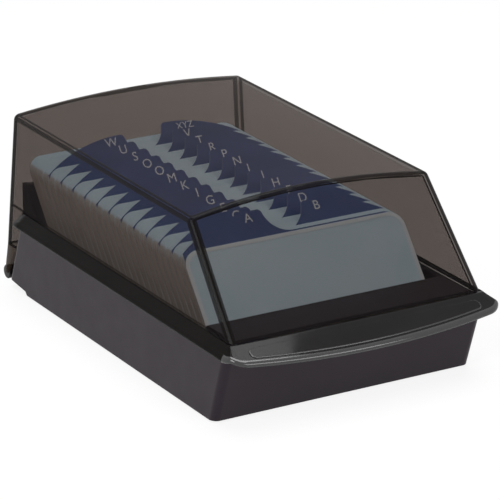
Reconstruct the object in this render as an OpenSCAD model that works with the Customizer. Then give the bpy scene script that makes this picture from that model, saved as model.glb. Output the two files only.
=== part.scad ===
// Covered desk card file: a low tray with a row of slotted sleeves and lettered index guides,
// under a one-piece see-through cover that is hinged along the tray's rear foot.
// Millimetres. X to the right, Y to the rear, Z up, with the table at Z = 0.

/* [Tray] */
// Distance from the cards' edges to the tray's sides
side_room = 8.5; // [8:0.1:12]
// Length of the flat underside, front to rear
tray_foot_l = 158; // [154:1:180]
// Height of the rim above the table
rim_h = 31.6; // [28:0.5:36]
// Wall thickness of the tray
tray_wall = 2.2; // [1.6:0.1:2.6]
// How far the rim stands ahead of the foot at the front
front_rake = 11; // [8:0.5:14]
// How far the rear edge reaches past the flat underside
rear_reach = 16.8; // [14:0.2:20]
// How far the rear wall leans forward from its lower edge to the rim
rear_rake = 10.6; // [8:0.2:12]
// Height of the lower edge of the rear wall above the table
rear_lift = 3.4; // [2.6:0.1:4]
// Rounding of the upright corners
tray_corner_r = 3.2; // [2.8:0.1:5]
// Height of the floor's upper face above the table
floor_h = 5.3; // [5:0.1:6]
// Thickness of the floor
floor_t = 2.2; // [1.6:0.1:2.6]
// Thickness of the ribs under the floor
rib_t = 1.8; // [1.2:0.1:2.4]
// Number of cross ribs under the floor
rib_count = 3; // [1:1:5]

/* [Feet] */
// Diameter of a foot pad
foot_d = 11; // [8:0.5:14]
// How far the pads stand below the tray
foot_proud = 0.6; // [0.4:0.1:1]
// Distance of a pad's middle from the tray's sides and ends
foot_inset = 13; // [11:0.5:18]

/* [Front shelf] */
// Height of the shelf's upper face above the table
shelf_h = 35.4; // [33:0.1:35.6]
// Thickness of the shelf
shelf_t = 2.4; // [1.8:0.1:3]
// Distance from the rim's front to the rear edge of the shelf
shelf_l = 25.6; // [20:0.1:25.6]
// Depth of the shelf's turned-down edge
shelf_drop = 2; // [1:0.1:2]
// Space between the crease of the lid and the shelf
shelf_gap = 3.6; // [3:0.1:6]
// Width and length of the posts that the shelf stands on
shelf_post = 6; // [4:0.5:8]

/* [Card rails] */
// Distance between the middles of the two rails
rail_spacing = 44; // [36:1:60]
// Width of the rail's head
rail_head_w = 4.4; // [3.6:0.1:5]
// Thickness of the rail's head
rail_head_t = 1.8; // [1.4:0.1:2]
// Thickness of the rail's web
rail_web_t = 1.6; // [1.2:0.1:2]
// Width of the rail's foot
rail_foot_w = 6; // [5:0.5:8]
// Thickness of the rail's foot
rail_foot_t = 1.2; // [0.8:0.1:1.6]
// Diameter of the pegs that hold a rail in the floor
peg_d = 3; // [2:0.2:4]
// Number of pegs on a rail
peg_count = 3; // [2:1:5]

/* [Cards] */
// Width of sleeves and guides
card_w = 101.6; // [96:0.1:102]
// Height of a sleeve
card_h = 57.15; // [54:0.05:58]
// Sleeves behind each guide
sleeve_count = 5; // [2:1:6]
// Thickness of an index guide
guide_t = 0.6; // [0.4:0.05:0.65]
// Air between two sheets
sheet_gap = 0.12; // [0.1:0.01:0.14]
// Rounding of the sleeves' upper corners
card_corner_r = 7; // [4:0.5:9]
// How far a guide's sides lie inside the sides of the sleeves
guide_inset = 1.2; // [0.6:0.1:2]
// How far a guide's shoulder lies below the tops of the sleeves
shoulder_drop = 2; // [1:0.1:3]
// Height of a guide's tab above its shoulder
tab_h = 11; // [9.5:0.1:11.2]
// Radius of the long curve along the top of a tab
tab_curve_r = 66; // [60:1:90]
// Distance from the middle of the card to the top of a tab's curve
tab_crest_x = 12; // [11:0.5:16]
// Radius of the hollow between a tab and the shoulder
tab_hollow_r = 11.4; // [10:0.1:12]
// Rounding of a tab's inner upper corner
tab_corner_r = 2; // [1:0.1:3]
// Half the height of the slot for the rail's head
slot_half_h = 3.8; // [3.8:0.1:4.2]
// Width of the slot for the rail's head
slot_w = 6; // [5.6:0.1:7]
// Width of the slot's mouth
slot_mouth_w = 2.6; // [2.4:0.1:3]
// Card left below the slot
slot_foot_h = 1.8; // [1.4:0.1:2]

/* [Stack] */
// Distance from the tray's front foot to the pivot of the first section
first_pivot_y = 10.4; // [10.3:0.1:12]
// Height of the middle of the rails' heads, where the sections pivot
pivot_h = 15.4; // [14.6:0.1:15.6]
// Distance from the last lettered section's pivot to the end of the flat underside
rear_room = 26.4; // [26.3:0.1:30]
// Air between two sections
section_gap = 0.4; // [0.35:0.05:0.6]
// Lean of the first section from upright
lean_front = 38.4; // [36:0.1:39]
// Lean of the last lettered section from upright
lean_rear = 38; // [37.5:0.1:38.4]
// How much higher than the others the first guide stands on the rails
first_rise = 2.2; // [0:0.1:2.2]
// Room for the spare pack of sleeves at the rear
spare_depth = 5.9; // [4:0.1:5.9]
// Air between the last lettered section and the spare pack
spare_gap = 0.45; // [0.4:0.05:0.5]

/* [Backrest] */
// Distance of the backrest's ends from the tray's sides
backrest_inset = 5.3; // [4:0.1:12]
// Height of its upper edge above the table
backrest_h = 46.4; // [40:0.2:47]
// Thickness of the plate
backrest_t = 2; // [1.6:0.1:2.4]
// Air between the spare pack and the backrest
backrest_gap = 0.8; // [0.8:0.05:1]
// How far the end walls end ahead of the tray's rear edge
backrest_setback = 4.4; // [4:0.1:6]
// Thickness of the end walls behind the plate
backrest_end_t = 2; // [1.6:0.1:3]
// Space between the end walls and the tray's rear rim
backrest_rim_gap = 1; // [0.8:0.1:2]

/* [Lid] */
// Wall thickness of the lid
lid_t = 1.8; // [1.5:0.1:2]
// Height of the top's side edges above the table
lid_h = 75.9; // [75:0.2:84]
// Rise of the cambered top between its side edges
lid_crown = 3.2; // [3:0.1:6]
// Rounding of the lid's outer edges
lid_edge_r = 3; // [2.4:0.1:5]
// Lean of the front panel from upright
lid_front_lean = 41.8; // [40:0.1:43]
// Lean of the side walls from upright
lid_side_lean = 3.6; // [2:0.1:3.8]
// Lean of the rear wall from upright
lid_rear_lean = 1.7; // [1:0.1:2.5]
// How far the top of the rear wall lies behind the tray's rear edge
lid_rear_set = 1.9; // [1.4:0.1:2.4]
// Height of the lid's crease above the tray's rim
crease_rise = 4.3; // [4.2:0.1:5.4]
// How far the crease lies inside the tray's sides
crease_inset = 1.7; // [1.5:0.1:2]
// How far the crease lies behind the tray's front edge
crease_setback = 0.6; // [0.4:0.1:1]
// How far the side flange reaches out from the crease
flange_out = 4.9; // [4.4:0.1:6]
// Drop of the side flange from the crease to its edge
flange_drop = 4.1; // [3.8:0.1:4.6]
// How far the front lip reaches out from the crease at its middle
lip_out = 15; // [12:0.2:18]
// Drop of the front lip from the crease to its edge at the middle
lip_drop = 6.4; // [5:0.1:7]
// Radius of the bowed front edge of the lip
lip_bow_r = 350; // [250:5:500]
// Rounding of the lip's front corners
lip_corner_r = 9; // [6:0.5:12]
// Height of the raised panel on the lip
panel_t = 0.5; // [0.3:0.05:0.8]
// Distance of the raised panel's ends from the tray's sides
panel_inset = 6.8; // [6.2:0.2:18]
// Distance from the crease to the panel's straight edge
panel_setback = 4; // [3:0.2:5]
// Distance from the lip's edge to the panel's bowed edge
panel_margin = 2.4; // [2:0.1:4]

/* [Hinge] */
// Diameter of the hinge pins
pin_d = 2.5; // [2:0.1:3]
// Length of a hinge pin
pin_l = 22; // [18:0.5:24]
// Radius of the lid's hinge barrel
barrel_r = 3; // [2.8:0.1:3.4]
// Height of the hinge axis above the table
hinge_h = 4.6; // [4.2:0.1:5]
// Distance from a lug's middle to the tray's side
lug_side = 16.3; // [15:0.1:24]
// Width of a lug
lug_w = 10; // [8:0.5:12]
// Height at which the rear skirt starts to flare out to the hinge
flare_h = 18; // [16:0.5:22]
// Radial clearance of the pins in the lid's barrel
pin_clearance = 0.05; // [0.03:0.01:0.09]
// Space between the lid and the fixed parts beside the hinge
hinge_gap = 0.6; // [0.4:0.05:0.8]
// Space between the lid's wings and the tray's rear wall
wing_gap = 0.8; // [0.7:0.05:1]

/* [Hidden] */
$fn = 48;
// Overlap that joins two shapes of one solid
JOIN = 0.3;
// Reach of cutting shapes past what they cut
PAST = 40;
BLACK = "#2b2a2d";
NAVY = "#2f3454";
CLEAR_BLUE = "#c3d2d8";
SMOKE = "#6a5a54";
STEEL = "#b4b6b8";
RUBBER = "#1d1d1e";

LETTERS = ["a", "b", "c", "d", "e", "f", "g", "h", "i", "j", "k", "l",
           "m", "n", "o", "p", "q", "r", "s", "t", "u", "v", "w", "xyz"];
section_count = len(LETTERS);

// Widths across X
tray_w = card_w + 2 * side_room;
backrest_w = tray_w - 2 * backrest_inset;
panel_w = tray_w - 2 * panel_inset;
lug_spacing = tray_w - 2 * lug_side;

// Places along Y, measured from the tray's front foot
rear_edge_y = tray_foot_l + rear_reach;
rear_rim_y = rear_edge_y - rear_rake;
front_angle = atan(front_rake / rim_h);
rear_angle = atan(rear_rake / (rim_h - rear_lift));
hinge_y = rear_edge_y + barrel_r + wing_gap;
barrel_y_max = hinge_y + barrel_r;
crease_y = crease_setback - front_rake;
crease_h = rim_h + crease_rise;
crease_x = tray_w / 2 - crease_inset;
lip_y = crease_y - lip_out;
// The frame's origin lies under the middle of the whole object
middle_y = (lip_y + barrel_y_max) / 2;

underside_h = floor_h - floor_t;
// How far the posts stand behind the shelf's front edge
post_setback = 1;
shelf_post_y = crease_y + shelf_gap + post_setback;
// How far a bore or slot is cut past the face it opens in
bore_past = 1;
// Smallest rounding of the tray's inner corners
least_r = 0.6;
// How far a rail starts ahead of the first pivot and ends behind the last sleeve
rail_lead = 7;
rail_tail = 1;
// Depth of a lug's root in the rear wall, and how much smaller it is than the lid's barrel
lug_root = 2.6;
lug_inset = 0.2;
// Height of the step at the end of the flat foot
foot_step = 1.4;
// Rounding of the raised panel's ends
panel_end_r = 3;
// Shift of a tab's hollow past its crest
hollow_shift = 1.5;
// How much the rounding of a tab's corner swells past the curves that it joins
corner_swell = 0.02;
// Where the rear skirt's outer face starts and ends beside the faces that it joins
skirt_top_inset = 0.02;
skirt_low_inset = 0.1;
skirt_low_rise = 0.8;
// Reach of the bowed outline's wedge past the middles of its corners
wedge_share = 1.05;

// Thickness and places of the sections; the sleeves fill what the tray's length leaves
last_pivot_y = tray_foot_l - rear_room;
section_pitch = (last_pivot_y - first_pivot_y) / (section_count - 1);
section_t = section_pitch * cos(lean_front) - section_gap;
sleeve_t = (section_t - guide_t) / sleeve_count - sheet_gap;
spare_count = floor((spare_depth + sheet_gap) / (sleeve_t + sheet_gap));
spare_t = spare_count * sleeve_t + (spare_count - 1) * sheet_gap;
lean_step = (lean_rear - lean_front) / (section_count - 1);
spare_lean = lean_front + section_count * lean_step;
spare_pivot_y = last_pivot_y + (section_t / 2 + spare_t / 2 + spare_gap) / cos(spare_lean);
card_foot_s = -(slot_half_h + slot_foot_h);
card_top_s = card_h + card_foot_s;
backrest_n = spare_t / 2 + backrest_gap;

function section_lean(i) = lean_front + i * lean_step;
function pivot_y(i) = first_pivot_y + i * section_pitch;
function is_left_tab(i) = i % 2 == 0;

// Lid surfaces as places at a height z
function lid_front_y(z) = crease_y + (z - crease_h) * tan(lid_front_lean);
function lid_side_x(z) = crease_x - (z - crease_h) * tan(lid_side_lean);
function lid_rear_y(z) = rear_edge_y + lid_rear_set + (lid_h - z) * tan(lid_rear_lean);
function tray_rear_y(z) = rear_rim_y + (rim_h - z) * tan(rear_angle);

// Shared shapes

// Extrudes an outline drawn in Y and Z across X
module across(x0, x1) {
    translate([x0, 0, 0])
        rotate([90, 0, 90])
            linear_extrude(x1 - x0)
                children();
}

// Extrudes an outline drawn in X and Z along Y
module along(y0, y1) {
    translate([0, y1, 0])
        rotate([90, 0, 0])
            linear_extrude(y1 - y0)
                children();
}

// Rectangle with its two corners at y = 0 rounded, reaching back to y = depth
module end_outline(half_w, depth, r) {
    union() {
        translate([-half_w, r])
            square([2 * half_w, depth - r]);
        translate([-half_w + r, 0])
            square([2 * (half_w - r), depth]);
        for (side = [-1, 1])
            translate([side * (half_w - r), r])
                circle(r);
    }
}

// Wide outline with a bowed front edge: straight sides, round corners and a large arc between them
module bowed_outline(half_w, front_y, rear_y, bow_r, corner_r) {
    bow_y = front_y + bow_r;
    corner_x = half_w - corner_r;
    corner_y = bow_y - sqrt(pow(bow_r - corner_r, 2) - pow(corner_x, 2));
    reach = bow_r / (bow_r - corner_r) * wedge_share;
    intersection() {
        translate([0, bow_y])
            circle(bow_r, $fn = 240);
        union() {
            polygon([
                [-half_w, rear_y],
                [-half_w, corner_y],
                [-corner_x, corner_y],
                [-corner_x * reach, bow_y + (corner_y - bow_y) * reach],
                [corner_x * reach, bow_y + (corner_y - bow_y) * reach],
                [corner_x, corner_y],
                [half_w, corner_y],
                [half_w, rear_y]
            ]);
            for (side = [-1, 1])
                translate([side * corner_x, corner_y])
                    circle(corner_r);
        }
    }
}

// Tray

// Everything between the raked front and rear walls, with round corners, inset by a wall
module tray_space(inset, z0, z1) {
    half_w = tray_w / 2 - inset;
    r = max(tray_corner_r - inset, least_r);
    depth = tray_foot_l + 3 * PAST;
    intersection() {
        translate([-tray_w, -2 * PAST, z0])
            cube([2 * tray_w, depth + 2 * PAST, z1 - z0]);
        rotate([front_angle, 0, 0])
            translate([0, inset, -2 * PAST])
                linear_extrude(6 * PAST)
                    end_outline(half_w, depth, r);
        translate([0, rear_edge_y, rear_lift])
            rotate([rear_angle, 0, 0])
                translate([0, -inset, -2 * PAST])
                    mirror([0, 1, 0])
                        linear_extrude(6 * PAST)
                            end_outline(half_w, depth, r);
    }
}

// Clears the space under the rear overhang, with a small step at the end of the flat foot
module overhang_cut() {
    across(-tray_w, tray_w)
        polygon([
            [tray_foot_l, -PAST],
            [tray_foot_l, foot_proud],
            [tray_foot_l + foot_step, foot_proud + foot_step],
            [rear_edge_y, rear_lift],
            [rear_edge_y + PAST, rear_lift],
            [rear_edge_y + PAST, -PAST]
        ]);
}

// Hollow under the floor, open to the table, with cross ribs left standing
module underside_hollow() {
    hollow_l = tray_foot_l - 2 * tray_wall;
    bay = hollow_l / (rib_count + 1);
    for (i = [0 : rib_count])
        intersection() {
            tray_space(tray_wall, -bore_past, underside_h);
            translate([-tray_w / 2, tray_wall + i * bay + rib_t / 2, -bore_past])
                cube([tray_w, bay - rib_t, underside_h + 2 * bore_past]);
        }
}

module hinge_lug(side) {
    root_y = rear_edge_y - lug_root;
    lug_r = barrel_r - lug_inset;
    across(side * lug_spacing / 2 - lug_w / 2, side * lug_spacing / 2 + lug_w / 2)
        union() {
            polygon([
                [root_y, rear_lift + JOIN],
                [hinge_y, hinge_h - lug_r],
                [hinge_y, hinge_h + lug_r],
                [root_y, hinge_h + lug_r + lug_root]
            ]);
            translate([hinge_y, hinge_h])
                circle(lug_r);
        }
}

// Posts in the front corners that carry the shelf
module shelf_posts() {
    inner_x = tray_w / 2 - tray_wall / 2;
    post_z = shelf_h - shelf_t;
    intersection() {
        tray_space(tray_wall / 2, floor_h - JOIN, post_z);
        for (side = [-1, 1])
            translate([side * (inner_x - shelf_post / 2) - shelf_post / 2, shelf_post_y, floor_h - JOIN])
                cube([shelf_post, shelf_post, post_z]);
    }
}

// Y of the pegs along a rail
function peg_y(i) = rail_y0() + rail_l() * (i + 0.5) / peg_count;
function rail_y0() = first_pivot_y - rail_lead;
function rail_l() = spare_pivot_y + spare_t / 2 / cos(spare_lean) + rail_tail - rail_y0();

module base_tray() {
    color(BLACK)
        difference() {
            union() {
                difference() {
                    tray_space(0, foot_proud, rim_h);
                    tray_space(tray_wall, floor_h, rim_h + PAST);
                    overhang_cut();
                    underside_hollow();
                }
                shelf_posts();
                for (side = [-1, 1])
                    hinge_lug(side);
            }
            for (side = [-1, 1]) {
                translate([side * lug_spacing / 2, hinge_y, hinge_h])
                    rotate([0, 90, 0])
                        cylinder(d = pin_d, h = lug_w + 2 * bore_past, center = true);
                for (i = [0 : peg_count - 1])
                    translate([side * rail_spacing / 2, peg_y(i), underside_h - bore_past])
                        cylinder(d = peg_d, h = floor_t + 2 * bore_past);
            }
        }
}

module foot_pad(x, y) {
    translate([x, y, 0])
        cylinder(d = foot_d, h = underside_h);
}

module feet() {
    color(RUBBER)
        for (side = [-1, 1]) {
            foot_pad(side * (tray_w / 2 - foot_inset), foot_inset);
            foot_pad(side * (tray_w / 2 - foot_inset), tray_foot_l - foot_inset);
        }
}

// Plate with a round rear edge that turns down
module shelf_outline(front_y, back_y) {
    under_h = shelf_h - shelf_t;
    bend_y = back_y - shelf_t;
    difference() {
        union() {
            translate([front_y, under_h])
                square([bend_y - front_y, shelf_t]);
            translate([bend_y, under_h])
                circle(shelf_t);
            translate([bend_y, under_h - shelf_drop])
                square([shelf_t, shelf_drop]);
        }
        translate([bend_y - PAST, under_h - PAST])
            square([PAST, PAST]);
    }
}

module front_shelf() {
    half_w = crease_x - shelf_gap;
    color(BLACK)
        across(-half_w, half_w)
            shelf_outline(crease_y + shelf_gap, shelf_l - front_rake);
}

// Card rails

module rail_outline() {
    head_z = pivot_h - rail_head_t / 2;
    union() {
        translate([-rail_foot_w / 2, floor_h])
            square([rail_foot_w, rail_foot_t]);
        translate([-rail_web_t / 2, floor_h])
            square([rail_web_t, pivot_h - floor_h]);
        translate([-(rail_head_w - rail_head_t) / 2, head_z])
            square([rail_head_w - rail_head_t, rail_head_t]);
        for (side = [-1, 1])
            translate([side * (rail_head_w - rail_head_t) / 2, pivot_h])
                circle(d = rail_head_t);
    }
}

module rail(side) {
    color(BLACK)
        translate([side * rail_spacing / 2, 0, 0])
            union() {
                along(rail_y0(), rail_y0() + rail_l())
                    rail_outline();
                for (i = [0 : peg_count - 1])
                    translate([0, peg_y(i), underside_h])
                        cylinder(d = peg_d, h = floor_t + JOIN);
            }
}

module rail_left() {
    rail(-1);
}

module rail_right() {
    rail(1);
}

// Backrest

// Side view of an end wall: under the leaning plate, over the tray's rear rim
module backrest_end_outline() {
    rear_n = backrest_n + backrest_t / 2;
    low_y = spare_pivot_y + rear_n / cos(spare_lean) - (pivot_h - floor_h) * tan(spare_lean);
    top_y = low_y + (backrest_h - floor_h) * tan(spare_lean);
    rear_y = rear_edge_y - backrest_setback;
    inner_y = rear_rim_y - tray_wall / cos(rear_angle) - backrest_rim_gap;
    polygon([
        [low_y, floor_h],
        [top_y, backrest_h],
        [rear_y, backrest_h],
        [rear_y, rim_h + backrest_rim_gap],
        [inner_y, rim_h + backrest_rim_gap],
        [inner_y, floor_h]
    ]);
}

module backrest() {
    plate_l = 2 * backrest_h;
    notch_w = rail_foot_w + 2 * rail_web_t;
    notch_h = pivot_h + rail_head_t - floor_h;
    color(BLACK)
        difference() {
            union() {
                intersection() {
                    translate([0, spare_pivot_y, pivot_h])
                        rotate([-spare_lean, 0, 0])
                            translate([-backrest_w / 2 + JOIN, backrest_n, -plate_l / 2])
                                cube([backrest_w - 2 * JOIN, backrest_t, 2 * plate_l]);
                    translate([-tray_w, 0, floor_h])
                        cube([2 * tray_w, 2 * tray_foot_l, backrest_h - floor_h]);
                }
                for (side = [-1, 1])
                    across(side * (backrest_w - backrest_end_t) / 2 - backrest_end_t / 2,
                           side * (backrest_w - backrest_end_t) / 2 + backrest_end_t / 2)
                        backrest_end_outline();
            }
            for (side = [-1, 1])
                translate([side * rail_spacing / 2 - notch_w / 2, 0, floor_h - bore_past])
                    cube([notch_w, 2 * tray_foot_l, notch_h + bore_past]);
        }
}

// Sleeves and guides, drawn flat with X across and Y up the card from the pivot

module card_slots() {
    for (side = [-1, 1])
        translate([side * rail_spacing / 2, 0]) {
            translate([-slot_w / 2, -slot_half_h])
                square([slot_w, 2 * slot_half_h]);
            translate([-slot_mouth_w / 2, card_foot_s - bore_past])
                square([slot_mouth_w, slot_foot_h + bore_past + JOIN]);
        }
}

// Sheet with round upper corners, a distance narrower at its sides and lower at its top than a sleeve
module sheet_outline(inset, lower) {
    difference() {
        translate([0, card_top_s - lower])
            mirror([0, 1])
                end_outline(card_w / 2 - inset, card_h - lower, card_corner_r);
        card_slots();
    }
}

module sleeve_outline() {
    sheet_outline(0, 0);
}

// Middles of a tab's long arc, of its hollow, and of the rounding that touches both
arc_mid = [-tab_crest_x, tab_h - tab_curve_r];
hollow_mid = [tab_hollow_r - tab_crest_x + hollow_shift, tab_hollow_r];
function circles_meet(p, q, rp, rq) =
    let (d = norm(q - p), u = (q - p) / d, a = (rp * rp - rq * rq + d * d) / (2 * d))
    p + a * u + sqrt(rp * rp - a * a) * [-u[1], u[0]];
corner_mid = circles_meet(arc_mid, hollow_mid, tab_curve_r - tab_corner_r, tab_hollow_r + tab_corner_r);
corner_up = (corner_mid - arc_mid) / norm(corner_mid - arc_mid);
corner_side = (hollow_mid - corner_mid) / norm(hollow_mid - corner_mid);

// Tab on the left half: a long arc rising from the card's edge, a crest and a hollow back to the shoulder
module tab_outline() {
    cut = 2 * tab_corner_r;
    translate([0, card_top_s - shoulder_drop])
        union() {
            difference() {
                intersection() {
                    translate(arc_mid)
                        circle(tab_curve_r, $fn = 180);
                    translate([guide_inset - card_w / 2, -2 * card_corner_r])
                        square([card_w / 2 - guide_inset + hollow_mid[0], 4 * card_corner_r]);
                }
                translate(hollow_mid)
                    circle(tab_hollow_r);
                polygon([
                    corner_mid,
                    corner_mid + cut * corner_up,
                    corner_mid + cut * (corner_up + corner_side),
                    corner_mid + cut * corner_side
                ]);
            }
            translate(corner_mid)
                circle(tab_corner_r + corner_swell);
        }
}

module guide_outline(is_left) {
    mirror([is_left ? 0 : 1, 0])
        union() {
            sheet_outline(guide_inset, shoulder_drop);
            tab_outline();
        }
}

// Stands a flat sheet up at a pivot, from depth n behind the pivot's plane. Each sheet hangs on the
// rails by its own slots, so that it lies further up its plane the further back it is.
module sheet(n, t, lean) {
    translate([0, n + t, (n + t / 2) * tan(lean)])
        rotate([90, 0, 0])
            linear_extrude(t)
                children();
}

module at_section(i) {
    translate([0, pivot_y(i), pivot_h])
        rotate([-section_lean(i), 0, 0])
            children();
}

module guide(i) {
    color(NAVY)
        at_section(i)
            translate([0, 0, i == 0 ? first_rise : 0])
                sheet(-section_t / 2, guide_t, section_lean(i))
                    guide_outline(is_left_tab(i));
}

// Sleeves behind a guide; the first section also has one in front of its guide
module sleeves(i) {
    first = i == 0 ? -1 : 0;
    pitch = sleeve_t + sheet_gap;
    behind_n = -section_t / 2 + guide_t + sheet_gap;
    front_n = -section_t / 2 - pitch;
    color(CLEAR_BLUE)
        at_section(i)
            for (k = [first : sleeve_count - 1])
                sheet(k < 0 ? front_n : behind_n + k * pitch, sleeve_t, section_lean(i))
                    sleeve_outline();
}

module sleeves_spare() {
    color(CLEAR_BLUE)
        translate([0, spare_pivot_y, pivot_h])
            rotate([-spare_lean, 0, 0])
                for (k = [0 : spare_count - 1])
                    sheet(-spare_t / 2 + k * (sleeve_t + sheet_gap), sleeve_t, spare_lean)
                        sleeve_outline();
}

// Lid

// Solid body of the cover as far down as its walls go, with balls of radius r at the same middles
module cover_body(r) {
    crown_steps = 5;
    low_z = -PAST;
    top_x = lid_side_x(lid_h - lid_edge_r) - lid_edge_r / cos(lid_side_lean);
    low_x = lid_side_x(low_z) - lid_edge_r / cos(lid_side_lean);
    front_set = lid_edge_r / cos(lid_front_lean);
    rear_set = lid_edge_r / cos(lid_rear_lean);
    hull() {
        for (k = [-crown_steps : crown_steps]) {
            z = lid_h + lid_crown * (1 - pow(k / crown_steps, 2)) - lid_edge_r;
            translate([top_x * k / crown_steps, lid_front_y(z) + front_set, z])
                sphere(r, $fn = 24);
            translate([top_x * k / crown_steps, lid_rear_y(z) - rear_set, z])
                sphere(r, $fn = 24);
        }
        for (side = [-1, 1]) {
            translate([side * low_x, lid_front_y(low_z) + front_set, low_z])
                sphere(r, $fn = 24);
            translate([side * low_x, lid_rear_y(low_z) - rear_set, low_z])
                sphere(r, $fn = 24);
        }
    }
}

// Side view of what is kept of the cover: above the crease, and down behind the tray's rear wall
module cover_keep() {
    low_z = flare_h - JOIN;
    across(-tray_w, tray_w)
        polygon([
            [-2 * PAST, crease_h - JOIN],
            [tray_rear_y(crease_h) + wing_gap, crease_h - JOIN],
            [tray_rear_y(low_z) + wing_gap, low_z],
            [rear_edge_y + PAST, low_z],
            [rear_edge_y + PAST, lid_h + PAST],
            [-2 * PAST, lid_h + PAST]
        ]);
}

module cover_shell() {
    intersection() {
        difference() {
            cover_body(lid_edge_r);
            cover_body(lid_edge_r - lid_t);
        }
        cover_keep();
    }
}

// Body under the sloped flange and lip, inset by a thickness; its slopes meet in a hip at each corner
module flange_body(inset, rear_y) {
    side_slope = flange_out / flange_drop;
    lip_slope = lip_out / lip_drop;
    side_inset = inset * sqrt(1 + pow(side_slope, 2));
    lip_inset = inset * sqrt(1 + pow(lip_slope, 2));
    low_z = crease_h - 2 * lip_drop;
    low_x = crease_x + 2 * lip_drop * side_slope - side_inset;
    intersection() {
        along(lip_y - PAST, rear_y)
            polygon([
                [-crease_x + side_inset, crease_h],
                [-low_x, low_z],
                [low_x, low_z],
                [crease_x - side_inset, crease_h]
            ]);
        across(-tray_w, tray_w)
            polygon([
                [crease_y + lip_inset, crease_h],
                [crease_y - 2 * lip_drop * lip_slope + lip_inset, low_z],
                [rear_y, low_z],
                [rear_y, crease_h]
            ]);
    }
}

module flange_shell() {
    rear_y = tray_rear_y(crease_h) + hinge_gap;
    flange_x = crease_x + flange_out;
    intersection() {
        difference() {
            flange_body(0, rear_y);
            flange_body(lid_t, rear_y + PAST);
        }
        linear_extrude(2 * crease_h)
            bowed_outline(flange_x, lip_y, rear_y + PAST, lip_bow_r, lip_corner_r);
    }
}

// Bare raised panel on the lip, straight along the crease and bowed along the front edge
module lip_panel() {
    lip_slope = lip_out / lip_drop;
    straight_y = crease_y - panel_setback;
    deep_z = crease_h - 2 * lip_drop;
    deep_y = crease_y - 2 * lip_out;
    intersection() {
        across(-panel_w / 2, panel_w / 2)
            polygon([
                [crease_y, crease_h - JOIN],
                [deep_y, deep_z - JOIN],
                [deep_y, deep_z + panel_t],
                [crease_y, crease_h + panel_t]
            ]);
        translate([0, 0, deep_z])
            linear_extrude(2 * crease_h)
                intersection() {
                    bowed_outline(panel_w / 2, lip_y + panel_margin, crease_y, lip_bow_r - panel_margin, panel_end_r);
                    translate([0, straight_y])
                        mirror([0, 1])
                            end_outline(panel_w / 2, 2 * lip_out, panel_end_r);
                }
    }
}

// Rear skirt below the flare, with its side wings
module skirt() {
    skirt_x = lid_side_x(flare_h);
    outer_top = lid_rear_y(flare_h);
    wing_top_y = tray_rear_y(flare_h) + wing_gap;
    wing_low_y = tray_rear_y(hinge_h) + wing_gap;
    across(-skirt_x, skirt_x)
        polygon([
            [outer_top - lid_t, flare_h + JOIN],
            [outer_top - skirt_top_inset, flare_h + JOIN],
            [hinge_y + barrel_r - skirt_low_inset, hinge_h + skirt_low_rise],
            [hinge_y + barrel_r - lid_t, hinge_h]
        ]);
    for (side = [-1, 1])
        across(side * (skirt_x - lid_t / 2) - lid_t / 2, side * (skirt_x - lid_t / 2) + lid_t / 2)
            polygon([
                [wing_top_y, flare_h + JOIN],
                [outer_top - JOIN, flare_h + JOIN],
                [hinge_y + barrel_r - lid_t, hinge_h],
                [wing_low_y + lid_t, hinge_h]
            ]);
}

module hinge_barrel() {
    barrel_l = 2 * (lid_side_x(flare_h) - JOIN);
    translate([0, hinge_y, hinge_h])
        rotate([0, 90, 0])
            cylinder(r = barrel_r, h = barrel_l, center = true);
}

// Room for a lug and the bore for its pin
module hinge_cuts(side) {
    notch_w = lug_w + hinge_gap;
    translate([side * lug_spacing / 2, hinge_y, hinge_h])
        rotate([0, 90, 0]) {
            cylinder(r = barrel_r + hinge_gap, h = notch_w, center = true);
            cylinder(d = pin_d + 2 * pin_clearance, h = pin_l + hinge_gap, center = true);
        }
}

module lid() {
    color(SMOKE, 0.6)
        difference() {
            union() {
                cover_shell();
                flange_shell();
                lip_panel();
                skirt();
                hinge_barrel();
            }
            for (side = [-1, 1])
                hinge_cuts(side);
        }
}

module hinge_pin(side) {
    color(STEEL)
        translate([side * lug_spacing / 2, hinge_y, hinge_h])
            rotate([0, 90, 0])
                cylinder(d = pin_d, h = pin_l, center = true);
}

module hinge_pin_left() {
    hinge_pin(-1);
}

module hinge_pin_right() {
    hinge_pin(1);
}

// Puts the origin under the middle of the whole object
module placed() {
    translate([0, -middle_y, 0])
        children();
}

placed() base_tray();
placed() front_shelf();
placed() rail_left();
placed() rail_right();
placed() backrest();
placed() feet();
placed() hinge_pin_left();
placed() hinge_pin_right();
placed() lid();
placed() sleeves_spare();
for (i = [0 : section_count - 1]) {
    placed() guide(i);
    placed() sleeves(i);
}
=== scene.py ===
"""Looks of a covered desk card file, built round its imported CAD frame.

The tray, rails, guides and sleeves keep their CAD solids and get moulded, filmed and printed finishes.
The smoked lid is modelled again here with finely rounded walls, a rolled flange and a raised lip panel.
"""

import logging
import math
from contextlib import contextmanager
from dataclasses import dataclass
from enum import Enum
from typing import Callable, Iterable, Iterator, Sequence

import bmesh
import bpy
from mathutils import Matrix, Vector

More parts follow.
